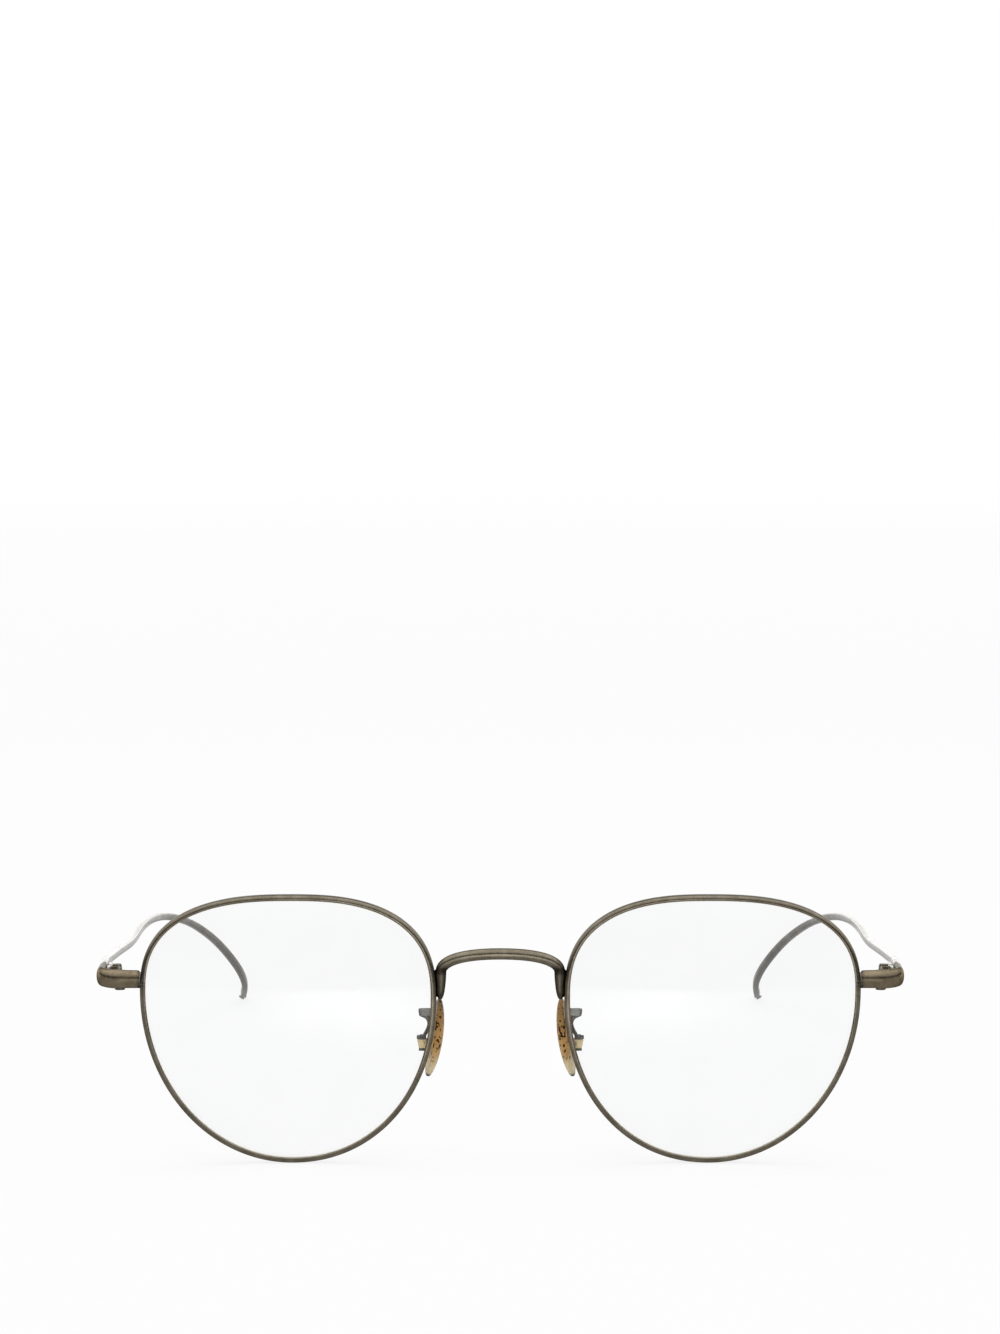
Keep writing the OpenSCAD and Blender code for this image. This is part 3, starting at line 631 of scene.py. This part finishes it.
def small_part(node, metals, slot, grain, edge=PART_EDGE, neighbours=(), reach=PATINA_AND_SHADE_REACH):
    """A block, leaf, clip or screw: its flat faces made whole and its edges rounded."""
    bm = bmesh.new()
    bm.from_mesh(NODES[node].data)
    bmesh.ops.remove_doubles(bm, verts=bm.verts, dist=WELD)
    bmesh.ops.dissolve_limit(bm, angle_limit=math.radians(1), verts=bm.verts, edges=bm.edges)
    piece = new_piece(node + "_form", bm)
    bevel(piece, edge)
    shade(piece, sharp_angle=40)
    mark_wear(piece)
    mark_patina_and_shade(piece, neighbours, reach)
    mark_grain(piece, grain)
    return finish_piece(piece, node, metals[slot])


def sphere_through(points):
    """Centre and radius of the sphere that fits the points best."""
    rows = np.hstack([2 * points, np.ones((len(points), 1))])
    answer = np.linalg.lstsq(rows, (points ** 2).sum(axis=1), rcond=None)[0]
    centre = answer[:3]
    return centre, math.sqrt(answer[3] + centre @ centre)


def lens_piece(node, material, edge_material):
    """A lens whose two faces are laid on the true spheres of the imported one, with a matt bevel."""
    bm = welded(node)
    crease(bm, angle=30, value=1.0)
    bm.normal_update()
    packed = {
        sign: np.array([v.co for v in bm.verts if sign * v.normal.y > FACE_ON])
        for sign in (-1, 1)
    }
    piece = new_piece(node + "_form", bm)
    subdivide(piece, levels=2)
    vertices = piece.data.vertices
    places = np.array([v.co for v in vertices])
    facing = np.array([v.normal.y for v in vertices])
    for sign, points in packed.items():
        centre, radius = sphere_through(points)
        chosen = sign * facing > FACE_ON
        across = ((places[chosen][:, (0, 2)] - centre[[0, 2]]) ** 2).sum(axis=1)
        places[chosen, 1] = centre[1] - np.sqrt(radius ** 2 - across)
    edge = np.abs(facing) <= FACE_ON
    middle = (places.max(axis=0) + places.min(axis=0)) / 2
    outwards = places[edge][:, (0, 2)] - middle[[0, 2]]
    outwards /= np.linalg.norm(outwards, axis=1)[:, None]
    places[edge, 0] += LENS_SEAT * outwards[:, 0]
    places[edge, 2] += LENS_SEAT * outwards[:, 1]
    vertices.foreach_set("co", places.ravel())
    piece.data.update()
    shade(piece, sharp_angle=30)
    finish_piece(piece, node, material)
    piece.data.materials.append(edge_material)
    for face in piece.data.polygons:
        face.material_index = 0 if abs(face.normal.y) > FACE_ON else 1
    return piece


def pad_piece(node, material):
    """A nose pad with its lug, as one moulded piece with soft edges."""
    bm = welded(node)
    piece = new_piece(node + "_form", bm)
    modifier = piece.modifiers.new("skin", "REMESH")
    modifier.mode = "VOXEL"
    modifier.voxel_size = PAD_GRAIN
    apply_modifiers(piece)
    modifier = piece.modifiers.new("soften", "SMOOTH")
    modifier.factor = 0.5
    modifier.iterations = PAD_SOFTENING
    apply_modifiers(piece)
    shade(piece)
    return finish_piece(piece, node, material)


# The set


def studio_world():
    """White surroundings. Polished metal mirrors them dark low in front, grey above that, and bright behind
    the part near the floor, as in a studio."""
    world = bpy.data.worlds.new("studio")
    bpy.context.scene.world = world
    world.use_nodes = True
    world.node_tree.nodes.clear()
    n = Nodes(world.node_tree)
    direction = n.split(n.add("ShaderNodeTexCoord").outputs["Generated"])
    height = n.range(direction["Z"], *MIRRORED_HEIGHTS, 0.0, 1.0)
    in_front = n.range(direction["Y"], *BEHIND_FROM, 1.0, 0.0)
    behind = n.ramp(height, grey_stops(MIRRORED_BEHIND))
    ahead = n.ramp(height, grey_stops(MIRRORED_AHEAD))
    soft = n.glow("ShaderNodeBackground", "Color", grey(WORLD_LEVEL))
    mirrored = n.glow("ShaderNodeBackground", "Color", n.mix(in_front, behind, ahead))
    white = n.glow("ShaderNodeBackground", "Color", grey(1.0))
    path = n.add("ShaderNodeLightPath")
    lit = n.blend(path.outputs["Is Glossy Ray"], soft, mirrored)
    output = n.add("ShaderNodeOutputWorld")
    n.link(n.blend(n.seen(path), lit, white), output.inputs["Surface"])


def softbox(name, place, target, size, level):
    """A rectangular lamp of the given brightness, turned towards target."""
    lamp = bpy.data.lights.new(name, "AREA")
    lamp.shape = "RECTANGLE"
    lamp.size, lamp.size_y = size
    lamp.energy = level * math.pi * size[0] * size[1]
    holder = bpy.data.objects.new(name, lamp)
    holder.location = place
    holder.rotation_euler = (Vector(target) - Vector(place)).to_track_quat("-Z", "Y").to_euler()
    holder.visible_camera = False
    holder.visible_transmission = False
    holder.visible_glossy = False
    bpy.context.scene.collection.objects.link(holder)


def painted_floor_reflection(n, place):
    """How bright polished metal mirrors the floor, as a painted glow that only reflections see: dark in front
    of its edge, a bright patch before the part, painted shade close to it and white behind."""
    axes = n.split(place)
    along = n.range(axes["Y"], *TABLE_Y, 0.0, 1.0)
    patch = n.ramp(along, grey_stops(PATCH_LEVELS))
    inside = n.range(n.math("ABSOLUTE", axes["X"]), 0.0, PATCH_HALF_WIDTH, PATCH_BRIGHTNESS, 0.0)
    plain = n.ramp(along, grey_stops(TABLE_LEVELS))
    return n.math("ADD", plain, n.math("MULTIPLY", patch, inside))


def floor_material():
    """Pale, nearly white to the camera but for soft shadows, and fading out into the surroundings. To
    polished metal it shows a painted glow of light and shade instead.
    """
    n = MaterialNodes("pale_floor")
    n.shader.inputs["Base Color"].default_value = grey(0.86)
    n.shader.inputs["Roughness"].default_value = 0.9
    n.shader.inputs["Specular IOR Level"].default_value = 0.0
    place = n.add("ShaderNodeTexCoord").outputs["Object"]
    path = n.add("ShaderNodeLightPath")
    white = n.glow("ShaderNodeEmission", "Color", grey(1.0))
    pale = n.blend(n.math("MULTIPLY", n.seen(path), FLOOR_WHITENESS), n.shader.outputs[0], white)
    # Painted reflection: a glow that only polished metal sees, with painted shade close to the part
    painted_table = n.glow("ShaderNodeEmission", "Strength", painted_floor_reflection(n, place))
    glossy, through_lens = path.outputs["Is Glossy Ray"], path.outputs["Is Transmission Ray"]
    by_metal = n.math("SUBTRACT", glossy, through_lens, clamp=True)
    away = n.add("ShaderNodeVectorMath", operation="LENGTH")
    n.link(place, away.inputs[0])
    fade = n.range(away.outputs["Value"], *FLOOR_FADE, 0.0, 1.0)
    clear = n.add("ShaderNodeBsdfTransparent").outputs[0]
    n.link(n.blend(fade, n.blend(by_metal, pale, painted_table), clear), n.output.inputs["Surface"])
    return n.material


def floor():
    """The floor that the part stands on, just below its feet."""
    bm = bmesh.new()
    bmesh.ops.create_grid(bm, x_segments=1, y_segments=1, size=FLOOR_HALF)
    mesh = bpy.data.meshes.new("floor")
    bm.to_mesh(mesh)
    bm.free()
    ground = bpy.data.objects.new("floor", mesh)
    ground.location.z = -FLOOR_DROP
    bpy.context.scene.collection.objects.link(ground)
    mesh.materials.append(floor_material())


def camera():
    """The camera, straight in front of the bridge and looking a little down."""
    lens = bpy.data.cameras.new("camera")
    lens.lens = CAMERA_LENS
    lens.sensor_width = 36
    lens.clip_start = 0.01
    holder = bpy.data.objects.new("camera", lens)
    front = CAD_BOUNDS[0][1]
    holder.location = (CAMERA_ASIDE, front - CAMERA_BEFORE_FRONT, CAMERA_HEIGHT)
    holder.rotation_euler = (math.radians(90 - CAMERA_PITCH), 0, 0)
    bpy.context.scene.collection.objects.link(holder)
    bpy.context.scene.camera = holder


def all_metals():
    """Every metal of the part, by the name of its slot."""
    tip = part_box("left_temple")[1].y
    return {
        "rim_metal": metal("rim_metal"),
        "bridge_metal": metal("bridge_metal"),
        "end_metal": metal("end_metal"),
        "temple_metal": metal("temple_metal", glancing=1.0, darker_span=(0.0, tip)),
        "hinge_metal": metal("hinge_metal", glancing=1.0),
        "arm_metal": metal("arm_metal"),
        "screw_metal": metal("screw_metal", roughness=0.24, glancing=0.8),
    }


def bridge(metals):
    """The bridge, soldered to both rims, with painted shade on its legs and in the corners above them."""
    rims = ("left_rim", "right_rim")
    paint_leg_shade(drawn_wire("bridge", metals, "bridge_metal", grain_x, rims, LEG_PATINA_AND_SHADE, rims))


def wires(side, metals):
    """The rim, end piece, temple and pad arm of one side."""
    rim, end, arm = f"{side}_rim", f"{side}_end_piece", f"{side}_pad_arm"
    drawn_wire(rim, metals, "rim_metal", grain_round(rim), ("bridge", end, arm))
    drawn_wire(end, metals, "end_metal", grain_x, (rim, f"{side}_temple"))
    drawn_wire(f"{side}_temple", metals, "temple_metal", grain_y)
    drawn_wire(arm, metals, "arm_metal", grain_z, (rim, f"{side}_pad_clip"))


def lock_and_hinge(side, metals):
    """The lock of a rim, behind the end piece, and the hinge of its temple."""
    small_part(f"{side}_upper_lock_block", metals, "rim_metal", grain_x)
    small_part(f"{side}_lower_lock_block", metals, "rim_metal", grain_x)
    small_part(f"{side}_lock_screw", metals, "screw_metal", grain_z, SCREW_EDGE)
    small_part(f"{side}_front_hinge_leaf", metals, "hinge_metal", grain_y)
    small_part(f"{side}_temple_hinge_leaf", metals, "hinge_metal", grain_y)
    small_part(f"{side}_hinge_screw", metals, "screw_metal", grain_z, SCREW_EDGE)


def pad_fittings(side, metals):
    """The clip and the screw that hold a nose pad."""
    pad, clip = f"{side}_nose_pad", f"{side}_pad_clip"
    small_part(clip, metals, "arm_metal", grain_z, CLIP_EDGE, (pad,), CLIP_PATINA_AND_SHADE)
    small_part(f"{side}_pad_screw", metals, "screw_metal", grain_z, SCREW_EDGE, (clip,), CLIP_PATINA_AND_SHADE)


def build():
    """The bridge, and every piece of both sides."""
    metals = all_metals()
    pad_low, pad_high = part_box("left_nose_pad")
    amber = tortoise("amber_plastic", pad_low.z, pad_high.z, pad_high.x - LUG_LENGTH)
    glass = lens_glass("clear_lens")
    glass_edge = ground_edge_with_painted_glow("ground_lens_edge_painted_glow")
    bridge(metals)
    for side in SIDES:
        wires(side, metals)
        lens_piece(f"{side}_lens", glass, glass_edge)
        pad_piece(f"{side}_nose_pad", amber)
        lock_and_hinge(side, metals)
        pad_fittings(side, metals)


bpy.context.scene.view_settings.view_transform = "Standard"
build()
studio_world()
softbox("key", place=(0, -0.75, 0.8), target=(0, 0, 0.02), size=(1.1, 0.5), level=1.2)
softbox("top", place=(0, 0.15, 1.0), target=(0, 0, 0), size=(1.2, 0.7), level=1.7)
floor()
camera()
